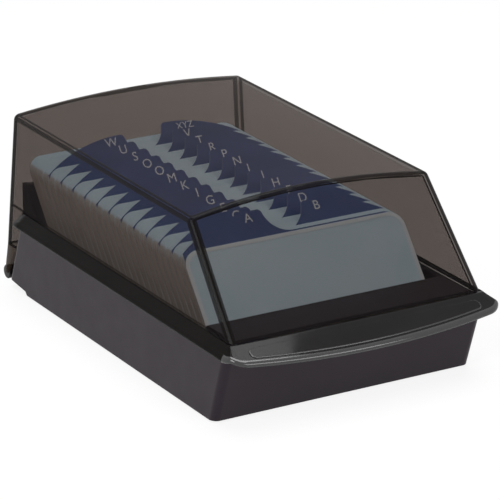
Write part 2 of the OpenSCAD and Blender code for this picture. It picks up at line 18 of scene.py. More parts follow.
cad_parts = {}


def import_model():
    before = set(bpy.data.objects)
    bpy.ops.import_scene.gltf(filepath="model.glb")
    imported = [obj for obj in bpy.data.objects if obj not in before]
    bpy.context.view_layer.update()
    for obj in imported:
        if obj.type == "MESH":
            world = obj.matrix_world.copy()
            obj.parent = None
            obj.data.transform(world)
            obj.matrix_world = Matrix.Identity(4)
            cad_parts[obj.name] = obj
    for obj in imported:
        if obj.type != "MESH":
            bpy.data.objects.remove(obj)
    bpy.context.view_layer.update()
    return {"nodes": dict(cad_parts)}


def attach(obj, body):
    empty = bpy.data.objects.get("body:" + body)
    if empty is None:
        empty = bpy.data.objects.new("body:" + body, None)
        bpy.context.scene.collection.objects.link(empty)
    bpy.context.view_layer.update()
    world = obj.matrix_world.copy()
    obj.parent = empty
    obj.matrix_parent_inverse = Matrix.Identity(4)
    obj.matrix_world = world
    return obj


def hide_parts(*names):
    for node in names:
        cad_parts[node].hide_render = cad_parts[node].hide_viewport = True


LOG = logging.getLogger("card_file")
MM = 0.001
QUARTER = math.pi / 2
Colour = tuple[float, float, float]
Point2 = tuple[float, float]
Point3 = tuple[float, float, float]


class TabSide(Enum):
    """Which half of a guide carries its tab."""

    LEFT = -1
    RIGHT = 1


class CoverSlot(Enum):
    """Material slots of the cover's outer face; the two edge slots carry painted shade along the rounded
    edges.
    """

    PANEL = 0
    EDGE = 1
    FRONT_EDGE = 2


class FlangeSlot(Enum):
    """Material slots of the flange."""

    LIP = 0
    ROLL = 1
    SIDE = 2


class Graph:
    """Small helper that adds shader nodes to one material or world."""

    def __init__(self, owner: bpy.types.Material | bpy.types.World) -> None:
        """Clears the owner's node tree.

        Args:
            owner: Material or world whose nodes are rebuilt.
        """
        owner.use_nodes = True
        self.tree = owner.node_tree
        self.tree.nodes.clear()

    def add(
        self, kind: str, inputs: dict[str | int, object] | None = None, **settings: object
    ) -> bpy.types.Node:
        """Adds a node.

        Args:
            kind: Blender's node type name.
            inputs: Socket values; a socket as value is linked.
            settings: Node properties.

        Returns:
            The new node.
        """
        node = self.tree.nodes.new(kind)
        for name, value in settings.items():
            setattr(node, name, value)
        for key, value in (inputs or {}).items():
            if isinstance(value, bpy.types.NodeSocket):
                self.tree.links.new(value, node.inputs[key])
            else:
                node.inputs[key].default_value = value
        return node

    def math(self, operation: str, a: object, b: object = 0.0) -> bpy.types.NodeSocket:
        """Adds a Math node and returns its output.

        Args:
            operation: Math operation name.
            a: First value or socket.
            b: Second value or socket.

        Returns:
            The result socket.
        """
        return self.add("ShaderNodeMath", {0: a, 1: b}, operation=operation).outputs[0]

    def remap(
        self, value: bpy.types.NodeSocket, low: float, high: float, start: float, end: float
    ) -> bpy.types.NodeSocket:
        """Maps a value from one range to another, clamped.

        Args:
            value: Input socket.
            low: Input value that gives start.
            high: Input value that gives end.
            start: First output value.
            end: Last output value.

        Returns:
            The result socket.
        """
        node = self.add("ShaderNodeMapRange", {0: value, 1: low, 2: high, 3: start, 4: end})
        return node.outputs[0]

    def blend(self, factor: object, first: object, second: object) -> bpy.types.NodeSocket:
        """Mixes two colours.

        Args:
            factor: Mix factor or socket.
            first: Colour at factor 0.
            second: Colour at factor 1.

        Returns:
            The mixed colour socket.
        """
        node = self.add("ShaderNodeMix", data_type="RGBA")
        for index, value in ((0, factor), (6, first), (7, second)):
            if isinstance(value, bpy.types.NodeSocket):
                self.tree.links.new(value, node.inputs[index])
            else:
                node.inputs[index].default_value = value
        return node.outputs[2]

    def noise(
        self, scale: float, detail: float = 3.0, stretch: Point3 = (1.0, 1.0, 1.0)
    ) -> bpy.types.NodeSocket:
        """Adds noise in the object's own metres.

        Args:
            scale: Noise scale.
            detail: Octaves.
            stretch: Scale of each axis.

        Returns:
            The noise value socket.
        """
        place = self.add("ShaderNodeTexCoord").outputs["Object"]
        spot = self.add("ShaderNodeMapping", {"Vector": place, "Scale": stretch}).outputs[0]
        node = self.add("ShaderNodeTexNoise", {"Vector": spot, "Scale": scale, "Detail": detail})
        return node.outputs[0]

    def surface(self, shader: bpy.types.Node) -> None:
        """Links a shader to the output.

        Args:
            shader: Shader node whose first output is shown.
        """
        kind = "ShaderNodeOutputWorld" if shader.type == "BACKGROUND" else "ShaderNodeOutputMaterial"
        self.add(kind, {"Surface": shader.outputs[0]})


def rgba(colour: Colour) -> tuple[float, float, float, float]:
    """Adds full alpha to a colour."""
    return (*colour, 1.0)


@dataclass(frozen=True)
class MouldedPlastic:
    """Satin moulded plastic with a fine spark texture and soft, slightly worn edges."""

    name: str
    dark: Colour
    light: Colour
    worn: Colour
    smooth: float = 0.38
    rough: float = 0.44
    grain: float = 0.02
    edge: float = 0.5 * MM
    gloss: float = 0.16

    def build(self) -> bpy.types.Material:
        """Makes the material."""
        material = bpy.data.materials.new(self.name)
        g = Graph(material)
        cloud = g.noise(38.0, 4.0)
        fine = g.noise(2600.0, 2.0)
        soft = g.add("ShaderNodeBevel", {"Radius": self.edge}, samples=4).outputs[0]
        flat = g.add("ShaderNodeNewGeometry").outputs["Normal"]
        meet = g.add("ShaderNodeVectorMath", {0: soft, 1: flat}, operation="DOT_PRODUCT").outputs["Value"]
        patches = g.remap(cloud, 0.35, 0.65, 0.3, 1.0)
        worn = g.math("MULTIPLY", g.remap(meet, 0.99, 0.8, 0.0, 0.6), patches)
        colour = g.blend(g.remap(cloud, 0.3, 0.7, 0.0, 1.0), rgba(self.dark), rgba(self.light))
        bump = g.add("ShaderNodeBump", {
            "Height": fine,
            "Strength": self.grain,
            "Distance": 0.2 * MM,
            "Normal": soft,
        })
        shader = g.add("ShaderNodeBsdfPrincipled", {
            "Base Color": g.blend(worn, colour, rgba(self.worn)),
            "Roughness": g.remap(g.noise(120.0, 3.0), 0.3, 0.7, self.smooth, self.rough),
            "Normal": bump.outputs[0],
            "IOR": 1.5,
            "Specular IOR Level": self.gloss,
        })
        g.surface(shader)
        return material


@dataclass(frozen=True)
class SmokedPlastic:
    """See-through smoked moulding, warmer where it faces up; lamps pass its thin wall almost freely."""

    name: str
    tint: Colour
    cover: float
    roughness: float
    gloss: float
    warm: Colour | None = None
    passes: Colour = (0.98, 0.98, 0.98)
    filters: Colour = (1.0, 0.955, 0.93)

    def build(self) -> bpy.types.Material:
        """Makes the material."""
        material = bpy.data.materials.new(self.name)
        g = Graph(material)
        haze = g.noise(55.0, 4.0)
        wave = g.noise(16.0, 1.0)
        bump = g.add("ShaderNodeBump", {"Height": wave, "Strength": 0.05, "Distance": 2.0 * MM})
        facing = g.add("ShaderNodeSeparateXYZ", {0: g.add("ShaderNodeTexCoord").outputs["Normal"]}).outputs[2]
        warm = rgba(self.warm or self.tint)
        smoke = g.blend(g.remap(facing, 0.75, 0.97, 0.0, 1.0), rgba(self.tint), warm)
        shader = g.add("ShaderNodeBsdfPrincipled", {
            "Base Color": g.blend(g.remap(haze, 0.35, 0.65, 0.3, 0.0), smoke, (0.0, 0.0, 0.0, 1.0)),
            "Roughness": g.remap(haze, 0.3, 0.75, self.roughness, self.roughness + 0.05),
            "IOR": 1.49,
            "Specular IOR Level": self.gloss,
            "Normal": bump.outputs[0],
        })
        through = g.add("ShaderNodeBsdfTransparent", {"Color": rgba(self.filters)})
        wall = g.add("ShaderNodeMixShader", {0: self.cover, 1: through.outputs[0], 2: shader.outputs[0]})
        clear = g.add("ShaderNodeBsdfTransparent", {"Color": rgba(self.passes)})
        shadow = g.add("ShaderNodeLightPath").outputs["Is Shadow Ray"]
        g.surface(g.add("ShaderNodeMixShader", {0: shadow, 1: wall.outputs[0], 2: clear.outputs[0]}))
        return material


@dataclass(frozen=True)
class SleeveFilm:
    """Filled clear sleeve: pale film over card, each sheet a little different; its tops lighter and its cut
    sides darker, both painted light and shade.
    """

    name: str
    pale: Colour
    deep: Colour
    card: Colour
    # Colour of the sheets' sides: painted shade, browned like the shadowed sides seen through the lid.
    cut: Colour
    # Painted highlight and painted shade for the sheets' tops; each sheet takes a colour between them.
    painted_top_light: Colour = (0.88, 0.9, 0.92)
    shade: Colour = (0.5, 0.57, 0.62)
    margin: float = 49.8 * MM
    fade: float = 0.8 * MM

    def build(self) -> bpy.types.Material:
        """Makes the material."""
        material = bpy.data.materials.new(self.name)
        g = Graph(material)
        geometry = g.add("ShaderNodeNewGeometry").outputs
        sheet = geometry["Random Per Island"]
        facing = g.add("ShaderNodeSeparateXYZ", {0: geometry["Normal"]}).outputs[0]
        place = g.add("ShaderNodeTexCoord").outputs
        across = g.add("ShaderNodeSeparateXYZ", {0: place["Object"]}).outputs[0]
        # The outer strip at each side takes the painted side shade.
        margin = g.remap(g.math("ABSOLUTE", across), self.margin - self.fade, self.margin, 0.0, 1.0)
        side = g.math("MULTIPLY", g.remap(g.math("ABSOLUTE", facing), -2.0, 0.95, 0.0, 1.0), margin)
        # Faces turned up and back, the sheets' tops, get the painted top light.
        painted_top_light = g.remap(g.add("ShaderNodeSeparateXYZ", {0: place["Normal"]}).outputs[1], 0.2, 0.55, 0.0, 1.0)
        cloud = g.noise(22.0, 3.0, (1.0, 1.0, 1.6))
        fibre = g.noise(900.0, 2.0, (0.2, 1.0, 1.0))
        film = g.blend(g.remap(cloud, 0.3, 0.7, 0.0, 1.0), rgba(self.deep), rgba(self.pale))
        toned = g.blend(g.remap(sheet, 0.0, 1.0, 0.0, 0.55), film, rgba(self.card))
        # Each sheet's top lies between painted shade and painted highlight.
        painted_top_light_and_shade = g.blend(sheet, rgba(self.shade), rgba(self.painted_top_light))
        # Sheet by sheet a darker side: painted shade in stripes between the sheets.
        cut = g.blend(sheet, rgba(self.cut), rgba(tuple(c * 0.72 for c in self.cut)))
        bump = g.add("ShaderNodeBump", {"Height": fibre, "Strength": 0.03, "Distance": 0.1 * MM})
        shader = g.add("ShaderNodeBsdfPrincipled", {
            "Base Color": g.blend(side, g.blend(painted_top_light, toned, painted_top_light_and_shade), cut),
            "Roughness": g.remap(cloud, 0.3, 0.7, 0.3, 0.42),
            "Normal": bump.outputs[0],
            "Coat Weight": 0.25,
            "Coat Roughness": 0.12,
            "IOR": 1.48,
        })
        g.surface(shader)
        return material


@dataclass(frozen=True)
class GuideStock:
    """Stiff coloured guide sheet with a faint pressed grain; faces turned up and back, its top edges among
    them, are paler as a painted highlight.
    """

    name: str
    dark: Colour
    light: Colour
    # Paler colour of faces turned up and back: painted highlight.
    cut: Colour

    def build(self) -> bpy.types.Material:
        """Makes the material."""
        material = bpy.data.materials.new(self.name)
        g = Graph(material)
        cloud = g.noise(45.0, 4.0)
        grain = g.noise(1500.0, 2.0)
        bump = g.add("ShaderNodeBump", {"Height": grain, "Strength": 0.06, "Distance": 0.1 * MM})
        # Faces turned up and back get the painted highlight.
        facing = g.add("ShaderNodeSeparateXYZ", {0: g.add("ShaderNodeTexCoord").outputs["Normal"]}).outputs[1]
        face = g.blend(g.remap(cloud, 0.3, 0.7, 0.0, 1.0), rgba(self.dark), rgba(self.light))
        shader = g.add("ShaderNodeBsdfPrincipled", {
            "Base Color": g.blend(g.remap(facing, -0.1, 0.4, 0.0, 1.0), face, rgba(self.cut)),
            "Roughness": g.remap(grain, 0.3, 0.7, 0.4, 0.52),
            "Normal": bump.outputs[0],
            "IOR": 1.5,
        })
        g.surface(shader)
        return material


@dataclass(frozen=True)
class PrintedInk:
    """Opaque printed ink, a little uneven in its cover."""

    name: str
    thin: Colour
    full: Colour

    def build(self) -> bpy.types.Material:
        """Makes the material."""
        material = bpy.data.materials.new(self.name)
        g = Graph(material)
        cover = g.noise(1400.0, 2.0)
        shader = g.add("ShaderNodeBsdfPrincipled", {
            "Base Color": g.blend(g.remap(cover, 0.3, 0.6, 0.0, 1.0), rgba(self.thin), rgba(self.full)),
            "Roughness": g.remap(cover, 0.3, 0.7, 0.45, 0.6),
        })
        g.surface(shader)
        return material


@dataclass(frozen=True)
class DrawnSteel:
    """Drawn steel with fine marks along the pin."""

    name: str
    tone: Colour

    def build(self) -> bpy.types.Material:
        """Makes the material."""
        material = bpy.data.materials.new(self.name)
        g = Graph(material)
        marks = g.noise(1800.0, 2.0, (0.05, 1.0, 1.0))
        dull = tuple(c * 0.8 for c in self.tone)
        shader = g.add("ShaderNodeBsdfPrincipled", {
            "Base Color": g.blend(g.remap(marks, 0.3, 0.7, 0.0, 1.0), rgba(dull), rgba(self.tone)),
            "Metallic": 1.0,
            "Roughness": g.remap(marks, 0.3, 0.7, 0.25, 0.4),
        })
        g.surface(shader)
        return material


@dataclass(frozen=True)
class Finishes:
    """All finishes of the object."""

    base: MouldedPlastic = MouldedPlastic(
        "base_black", (0.0195, 0.0132, 0.019), (0.0225, 0.0155, 0.0225), (0.04, 0.033, 0.04))
    rubber: MouldedPlastic = MouldedPlastic(
        "foot_rubber", (0.012, 0.012, 0.012), (0.022, 0.021, 0.021), (0.03, 0.03, 0.03),
        smooth=0.7, rough=0.85, grain=0.2)
    panel: SmokedPlastic = SmokedPlastic(
        "lid_smoke", (0.0105, 0.0095, 0.0095), 0.66, 0.05, 0.006, warm=(0.013, 0.009, 0.007))
    skirt: SmokedPlastic = SmokedPlastic("lid_smoke_skirt", (0.03, 0.018, 0.012), 0.78, 0.06, 0.03)
    # Darker, denser smoke for the rounded edges: painted shade in place of their refraction.
    edge: SmokedPlastic = SmokedPlastic("lid_smoke_painted_edge_shade", (0.006, 0.0045, 0.004), 0.95, 0.05, 0.06)
    inner: SmokedPlastic = SmokedPlastic("lid_smoke_inner", (0.011, 0.0105, 0.011), 0.14, 0.06, 0.02)
    lip: SmokedPlastic = SmokedPlastic("lid_smoke_lip", (0.006, 0.005, 0.005), 0.96, 0.04, 0.15)
    # Rolled edges and panel rounds: real gloss, and a tint a little paler than the lip as a painted
    # highlight.
    roll: SmokedPlastic = SmokedPlastic("lid_smoke_roll", (0.012, 0.012, 0.012), 0.96, 0.06, 0.8)
    flange: SmokedPlastic = SmokedPlastic("lid_smoke_flange", (0.006, 0.005, 0.0045), 0.95, 0.1, 0.04)
    # The sleeves' brown fourth colour is painted shade on the stack's sides.
    sleeve: SleeveFilm = SleeveFilm(
        "sleeve_clear", (0.64, 0.83, 0.94), (0.57, 0.76, 0.89), (0.7, 0.84, 0.92), (0.5, 0.42, 0.36))
    # The pocket's welded rim: its paler film is also a painted highlight along the top edge.
    rim: SleeveFilm = SleeveFilm(
        "sleeve_rim_painted_highlight", (0.8, 0.87, 0.92), (0.74, 0.84, 0.9), (0.82, 0.88, 0.92), (0.8, 0.87, 0.92))
    # The guide's third colour is its painted edge highlight.
    guide: GuideStock = GuideStock("guide_navy", (0.058, 0.096, 0.25), (0.075, 0.12, 0.31), (0.24, 0.3, 0.43))
    ink: PrintedInk = PrintedInk("guide_ink", (0.72, 0.78, 0.83), (0.82, 0.88, 0.92))
    steel: DrawnSteel = DrawnSteel("pin_steel", (0.6, 0.61, 0.62))


class Palette:
    """Builds each finish once and hands it out."""

    def __init__(self, finishes: Finishes) -> None:
        """Keeps the finishes.

        Args:
            finishes: Finish descriptions.
        """
        self.finishes = finishes
        self.made: dict[str, bpy.types.Material] = {}

    def get(self, name: str) -> bpy.types.Material:
        """Returns a finish's material, built at first use.

        Args:
            name: Field name in Finishes.

        Returns:
            The material.
        """
        if name not in self.made:
            self.made[name] = getattr(self.finishes, name).build()
        return self.made[name]


def dress(node: bpy.types.Object, material: bpy.types.Material) -> None:
    """Gives a CAD node one material.

    Args:
        node: CAD node's object.
        material: Material for all its faces.
    """
    if not node.material_slots:
        node.data.materials.append(material)
    for slot in node.material_slots:
        slot.material = material


def new_object(name: str, mesh: bpy.types.Mesh, materials: Iterable[bpy.types.Material]) -> bpy.types.Object:
    """Links a mesh as an object.

    Args:
        name: Object name.
        mesh: Its mesh.
        materials: Materials in slot order.

    Returns:
        The new object.
    """
    for material in materials:
        mesh.materials.append(material)
    made = bpy.data.objects.new(name, mesh)
    bpy.context.scene.collection.objects.link(made)
    return made


def arc(middle: Point2, r: float, start: float, end: float, steps: int) -> list[Point2]:
    """Points along an arc.

    Args:
        middle: Middle of its circle.
        r: Radius.
        start: First angle in radians.
        end: Last angle in radians.
        steps: Number of steps between them.

    Returns:
        Points in order, both ends included.
    """
    angles = [start + (end - start) * i / steps for i in range(steps + 1)]
    return [(middle[0] + r * math.cos(a), middle[1] + r * math.sin(a)) for a in angles]


def mesh_of(name: str, points: Sequence[Point3], faces: Sequence[Sequence[int]]) -> bpy.types.Mesh:
    """Makes a mesh from points in millimetres.

    Args:
        name: Mesh name.
        points: Vertices in millimetres.
        faces: Vertex indices of each face.

    Returns:
        The mesh, in metres.
    """
    mesh = bpy.data.meshes.new(name)
    mesh.from_pydata([Vector(p) * MM for p in points], [], faces)
    mesh.update()
    return mesh


@contextmanager
def edited(mesh: bpy.types.Mesh) -> Iterator[bmesh.types.BMesh]:
    """Opens a mesh for editing and writes it back.

    Args:
        mesh: Mesh to edit.

    Returns:
        The open mesh, for a with statement.
    """
    bm = bmesh.new()
    bm.from_mesh(mesh)
    yield bm
    bm.to_mesh(mesh)
    bm.free()


def face_out(bm: bmesh.types.BMesh, outward: Point3 | None = None) -> None:
    """Turns all faces the same way.

    Args:
        bm: Mesh to turn.
        outward: Where an open sheet's faces look on the whole; a closed body needs none.
    """
    bmesh.ops.recalc_face_normals(bm, faces=bm.faces)
    if outward and sum(f.normal.dot(Vector(outward)) * f.calc_area() for f in bm.faces) < 0:
        bmesh.ops.reverse_faces(bm, faces=bm.faces)


def soften(made: bpy.types.Object, segments: int, slot: int = -1, width: float = 0.4) -> None:
    """Rounds a piece's sharp edges.

    Args:
        made: Object to round.
        segments: Steps of the round.
        slot: Material slot of the round; -1 takes the slot beside it.
        width: Width of the round in millimetres.
    """
    bevel = made.modifiers.new("soft_rim", "BEVEL")
    bevel.material = slot
    bevel.width = width * MM
    bevel.segments = segments
    bevel.limit_method = "ANGLE"
    bevel.angle_limit = math.radians(50)


def smooth(made: bpy.types.Object, angle: float) -> None:
    """Shades smooth across soft edges and keeps flat walls flat.

    Args:
        made: Object to shade.
        angle: Edges sharper than this, in degrees, stay sharp.
    """
    mesh = made.data
    mesh.shade_smooth()
    mesh.set_sharp_from_angle(angle=math.radians(angle))
    normals = made.modifiers.new("even_normals", "WEIGHTED_NORMAL")
    normals.keep_sharp = True
    normals.weight = 80


def thicken(made: bpy.types.Object, thickness: float, inner_slot: int) -> None:
    """Gives a sheet its wall thickness, inwards from the modelled face.

    Args:
        made: Sheet object.
        thickness: Wall thickness in millimetres.
        inner_slot: How many material slots further the inner face lies.
    """
    wall = made.modifiers.new("wall", "SOLIDIFY")
    wall.thickness = thickness * MM
    wall.offset = -1.0
    wall.use_even_offset = True
    wall.use_quality_normals = True
    wall.material_offset = inner_slot


@dataclass
class Sizes:
    """Sizes that the lid and the stack take from the tray, in millimetres, from its front foot."""

    rim_h: float = 31.6
    rear_lift: float = 3.4
    rear_rake: float = 10.6
    rear_edge_y: float = 174.8
    middle_y: float = 78.1

    def tray_rear_y(self, z: float) -> float:
        """Y of the tray's rear wall at a height."""
        slope = self.rear_rake / (self.rim_h - self.rear_lift)
        return self.rear_edge_y - self.rear_rake + (self.rim_h - z) * slope


@dataclass
class Lid:
    """Smoked lid: cover, flange with grip lip, raised panel, rear skirt and hinge barrel."""

    sizes: Sizes
    palette: Palette
    wall: float = 1.8
    height: float = 75.9
    crown: float = 3.2
    edge_r: float = 3.0
    front_lean: float = 41.8
    side_lean: float = 3.6
    rear_lean: float = 1.7
    rear_set: float = 1.9
    crease_h: float = 35.9
    crease_x: float = 57.6
    crease_y: float = -10.4
    flange_out: float = 4.9
    flange_drop: float = 4.1
    lip_out: float = 15.0
    lip_drop: float = 6.4
    lip_bow_r: float = 350.0
    lip_corner_r: float = 9.0
    roll_r: float = 1.7
    roll_drop: float = 0.5
    roll_flat: float = 0.8
    hip_soft: float = 0.5
    panel_w: float = 105.0
    panel_t: float = 0.5
    panel_sink: float = 0.3
    panel_setback: float = 4.0
    panel_margin: float = 2.4
    panel_end_r: float = 2.2
    flare_h: float = 18.0
    skirt_h_share: float = 0.62
    skirt_tuck: float = 0.1
    skirt_rise: float = 0.8
    hinge_y: float = 178.6
    hinge_h: float = 4.6
    barrel_r: float = 3.0
    lug_spacing: float = 86.0
    notch_w: float = 10.6
    wing_gap: float = 0.8
    barrel_inset: float = 0.3
    # Shares of the rounding that get the painted edge shade.
    front_share: float = 0.03
    edge_share: float = 0.03
    core_share: float = 0.43
    weld: float = 0.01

    def front_y(self, z: float) -> float:
        """Y of the front panel at a height."""
        return self.crease_y + (z - self.crease_h) * math.tan(math.radians(self.front_lean))

    def side_x(self, z: float) -> float:
        """Half width between the side walls at a height."""
        return self.crease_x - (z - self.crease_h) * math.tan(math.radians(self.side_lean))

    def rear_y(self, z: float) -> float:
        """Y of the rear wall at a height."""
        slope = math.tan(math.radians(self.rear_lean))
        return self.sizes.rear_edge_y + self.rear_set + (self.height - z) * slope

    def notch(self) -> Point2:
        """Nearest and furthest X of the room for a lug."""
        return (self.lug_spacing - self.notch_w) / 2, (self.lug_spacing + self.notch_w) / 2

    def place(self, points: Iterable[Point3]) -> list[Point3]:
        """Shifts points from the tray's foot to the row frame."""
        return [(x, y - self.sizes.middle_y, z) for x, y, z in points]

    def ball_middles(self) -> list[Point3]:
        """Lists the middles of the balls whose hull is the cover.

        Returns:
            Points in millimetres.
        """
        steps = 12
        r = self.edge_r
        low_z = -40.0
        front_set = r / math.cos(math.radians(self.front_lean))
        rear_set = r / math.cos(math.radians(self.rear_lean))
        side_set = r / math.cos(math.radians(self.side_lean))
        top_x = self.side_x(self.height - r) - side_set
        low_x = self.side_x(low_z) - side_set
        middles: list[Point3] = []
        for k in range(-steps, steps + 1):
            z = self.height + self.crown * (1 - (k / steps) ** 2) - r
            middles.append((top_x * k / steps, self.front_y(z) + front_set, z))
            middles.append((top_x * k / steps, self.rear_y(z) - rear_set, z))
        for side in (-1, 1):
            middles.append((side * low_x, self.front_y(low_z) + front_set, low_z))
            middles.append((side * low_x, self.rear_y(low_z) - rear_set, low_z))
        return middles

    def cover_sheet(self) -> bmesh.types.BMesh:
        """Builds the cover's outer face as the hull of the balls, open below.

        Returns:
            The mesh, in metres, cut off at the crease and along the tray's rear wall.
        """
        rings, turns = 20, 40
        bm = bmesh.new()
        for x, y, z in self.place(self.ball_middles()):
            for i in range(rings + 1):
                a = math.pi * i / rings
                for j in range(turns if 0 < i < rings else 1):
                    b = 2 * math.pi * j / turns
                    offset = Vector((math.sin(a) * math.cos(b), math.sin(a) * math.sin(b), math.cos(a)))
                    bm.verts.new((Vector((x, y, z)) + offset * self.edge_r) * MM)
        hull = bmesh.ops.convex_hull(bm, input=bm.verts)
        inside = {v for v in hull["geom_interior"] if isinstance(v, bmesh.types.BMVert)}
        bmesh.ops.delete(bm, geom=list(inside), context="VERTS")
        bmesh.ops.delete(bm, geom=[v for v in bm.verts if not v.link_faces], context="VERTS")
        flat = math.radians(0.6)
        bmesh.ops.dissolve_limit(bm, angle_limit=flat, verts=bm.verts, edges=bm.edges)
        top = self.cut(bm.copy(), [((0, 0, self.crease_h), (0, 0, -1))])
        slope_y = self.sizes.tray_rear_y(self.crease_h) + self.wing_gap
        low_y = self.sizes.tray_rear_y(self.flare_h) + self.wing_gap
        ahead = (0.0, -(self.crease_h - self.flare_h), -(low_y - slope_y))
        rear = self.cut(bm, [
            ((0, 0, self.crease_h), (0, 0, 1)),
            ((0, 0, self.flare_h), (0, 0, -1)),
            ((0, slope_y, self.crease_h), ahead),
        ])
        joined = bpy.data.meshes.new("cover_rear")
        rear.to_mesh(joined)
        rear.free()
        top.from_mesh(joined)
        bpy.data.meshes.remove(joined)
        bmesh.ops.remove_doubles(top, verts=top.verts, dist=self.weld * MM)
        face_out(top)
        return top

    def cut(self, bm: bmesh.types.BMesh, planes: Sequence[tuple[Point3, Point3]]) -> bmesh.types.BMesh:
        """Removes what lies beyond each plane.

        Args:
            bm: Mesh to cut.
            planes: Point and outward normal of each plane, from the tray's foot.

        Returns:
            The same mesh.
        """
        for point, outward in planes:
            geom = list(bm.verts) + list(bm.edges) + list(bm.faces)
            spot = Vector(self.place([point])[0]) * MM
            bmesh.ops.bisect_plane(bm, geom=geom, plane_co=spot, plane_no=Vector(outward), clear_outer=True)
        return bm

    def mark_edges(self, bm: bmesh.types.BMesh) -> None:
        """Puts the rounded edges into the darker slots, whose darker smoke is painted shade for the dark
        bands that refraction makes there.

        Args:
            bm: Cover mesh.
        """
        lean = [math.radians(a) for a in (self.front_lean, self.side_lean, self.rear_lean)]
        walls = [
            Vector((0, -math.cos(lean[0]), math.sin(lean[0]))),
            Vector((math.cos(lean[1]), 0, math.sin(lean[1]))),
            Vector((-math.cos(lean[1]), 0, math.sin(lean[1]))),
            Vector((0, math.cos(lean[2]), math.sin(lean[2]))),
        ]
        crowned_z, front_facing_y = 0.97, -0.12
        for face in bm.faces:
            n = face.normal
            top = Vector((n.x, 0.0, n.z)).normalized() if n.z > crowned_z else Vector((0.0, 0.0, 1.0))
            near, far = sorted(math.acos(max(-1.0, min(1.0, n.dot(w)))) for w in (*walls, top))[:2]
            share = near / (near + far)
            slot = CoverSlot.PANEL
            if n.y < front_facing_y:
                slot = CoverSlot.FRONT_EDGE if share > self.front_share else slot
            elif self.edge_share < share < self.core_share:
                slot = CoverSlot.EDGE
            face.material_index = slot.value

    def build_cover(self) -> bpy.types.Object:
        """Builds the cover.

        Returns:
            The cover object.
        """
        bm = self.cover_sheet()
        self.mark_edges(bm)
        mesh = bpy.data.meshes.new("lid_cover")
        bm.to_mesh(mesh)
        bm.free()
        # The edge slots, outside and inside, take the painted edge shade.
        outer, inner = ("panel", "edge", "edge"), ("inner", "inner", "edge")
        made = new_object("lid_cover", mesh, [self.palette.get(n) for n in outer + inner])
        thicken(made, self.wall, len(CoverSlot))
        smooth(made, 30.0)
        return made

    def outer_path(self) -> list[tuple[Point2, Point2]]:
        """Walks round the flange from the left rear to the right rear.

        Returns:
            Pairs of a point on the crease and its point on the outer edge.
        """
        half = self.crease_x + self.flange_out
        lip_y = self.crease_y - self.lip_out
        bow_y = lip_y + self.lip_bow_r
        r = self.lip_corner_r
        corner_x = half - r
        reach = self.lip_bow_r - r
        corner_y = bow_y - math.sqrt(reach * reach - corner_x * corner_x)
        rear = self.sizes.tray_rear_y(self.crease_h) + self.wing_gap
        left: list[Point2] = []
        straight = 44
        for i in range(straight):
            left.append((-half, rear + (corner_y - rear) * i / straight))
        tilt = math.atan2(corner_x, bow_y - corner_y)
        left += arc((-corner_x, corner_y), r, math.pi, 3 * QUARTER - tilt, 22)
        left += arc((0.0, bow_y), self.lip_bow_r, -QUARTER - tilt, -QUARTER, 60)[1:]
        full = left + [(-x, y) for x, y in reversed(left[:-1])]
        crease = [(max(-self.crease_x, min(self.crease_x, x)), max(y, self.crease_y)) for x, y in full]
        return list(zip(crease, full))

    def flange_z(self, x: float, y: float) -> float:
        """Height of the flange's upper face before its edge rolls over."""
        side = max(abs(x) - self.crease_x, 0.0) * self.flange_drop / self.flange_out
        front = max(self.crease_y - y, 0.0) * self.lip_drop / self.lip_out
        soft = self.hip_soft ** 2 * min(1.0, side * front)
        return self.crease_h - (side + front + math.sqrt((side - front) ** 2 + soft)) / 2

    def build_flange(self) -> bpy.types.Object:
        """Builds the side flanges and the grip lip with a rolled edge.

        Returns:
            The flange object.
        """
        points: list[Point3] = []
        faces: list[tuple[int, ...]] = []
        path = self.outer_path()
        shares = [0.0, 0.12, 0.3, 0.5, 0.7, 0.85, 1.0]
        roll = [math.radians(a) for a in (0, 15, 30, 45, 60, 75, 90)]
        columns = len(shares) + len(roll)
        least_run = 0.1
        for (ix, iy), (ox, oy) in path:
            run = math.hypot(ox - ix, oy - iy)
            keep = max(run - self.roll_r, least_run) / run
            for share in shares:
                x, y = ix + (ox - ix) * keep * share, iy + (oy - iy) * keep * share
                points.append((x, y, self.flange_z(x, y)))
            start_z = points[-1][2]
            fall = self.flange_z(ox, oy) - start_z
            for a in roll[1:]:
                part = keep + (1 - keep) * math.sin(a)
                x, y = ix + (ox - ix) * part, iy + (oy - iy) * part
                z = start_z + fall * math.sin(a) / 2 - self.roll_r * (1 - math.cos(a)) * self.roll_flat
                points.append((x, y, z))
            x, y, z = points[-1]
            points.append((x, y, z - self.roll_drop))
        slots: list[int] = []
        side_x = self.crease_x + self.flange_out
        for i in range(len(path) - 1):
            in_front = min(abs(path[i][1][0]), abs(path[i + 1][1][0])) < side_x - self.weld
            for j in range(columns - 1):
                a, b = i * columns + j, (i + 1) * columns + j
                faces.append((a, a + 1, b + 1, b))
                rolled = in_front and j >= len(shares) - 1
                slots.append((FlangeSlot.ROLL if rolled else FlangeSlot.LIP).value)
        mesh = mesh_of("lid_flange", self.place(points), faces)
        mesh.polygons.foreach_set("material_index", slots)
        crease_y = (self.crease_y - self.sizes.middle_y) * MM
        with edited(mesh) as bm:
            bmesh.ops.remove_doubles(bm, verts=bm.verts, dist=self.weld / 2 * MM)
            face_out(bm, (0, 0, 1))
            for face in bm.faces:
                middle = face.calc_center_median()
                ahead = crease_y - middle.y
                aside = (abs(middle.x) - self.crease_x * MM) * self.lip_out / self.flange_out
                if aside > ahead and face.material_index == FlangeSlot.LIP.value:
                    face.material_index = FlangeSlot.SIDE.value
        made = new_object("lid_flange", mesh, [self.palette.get(n) for n in ("lip", "roll", "flange")])
        thicken(made, self.wall, 0)
        smooth(made, 50.0)
        return made

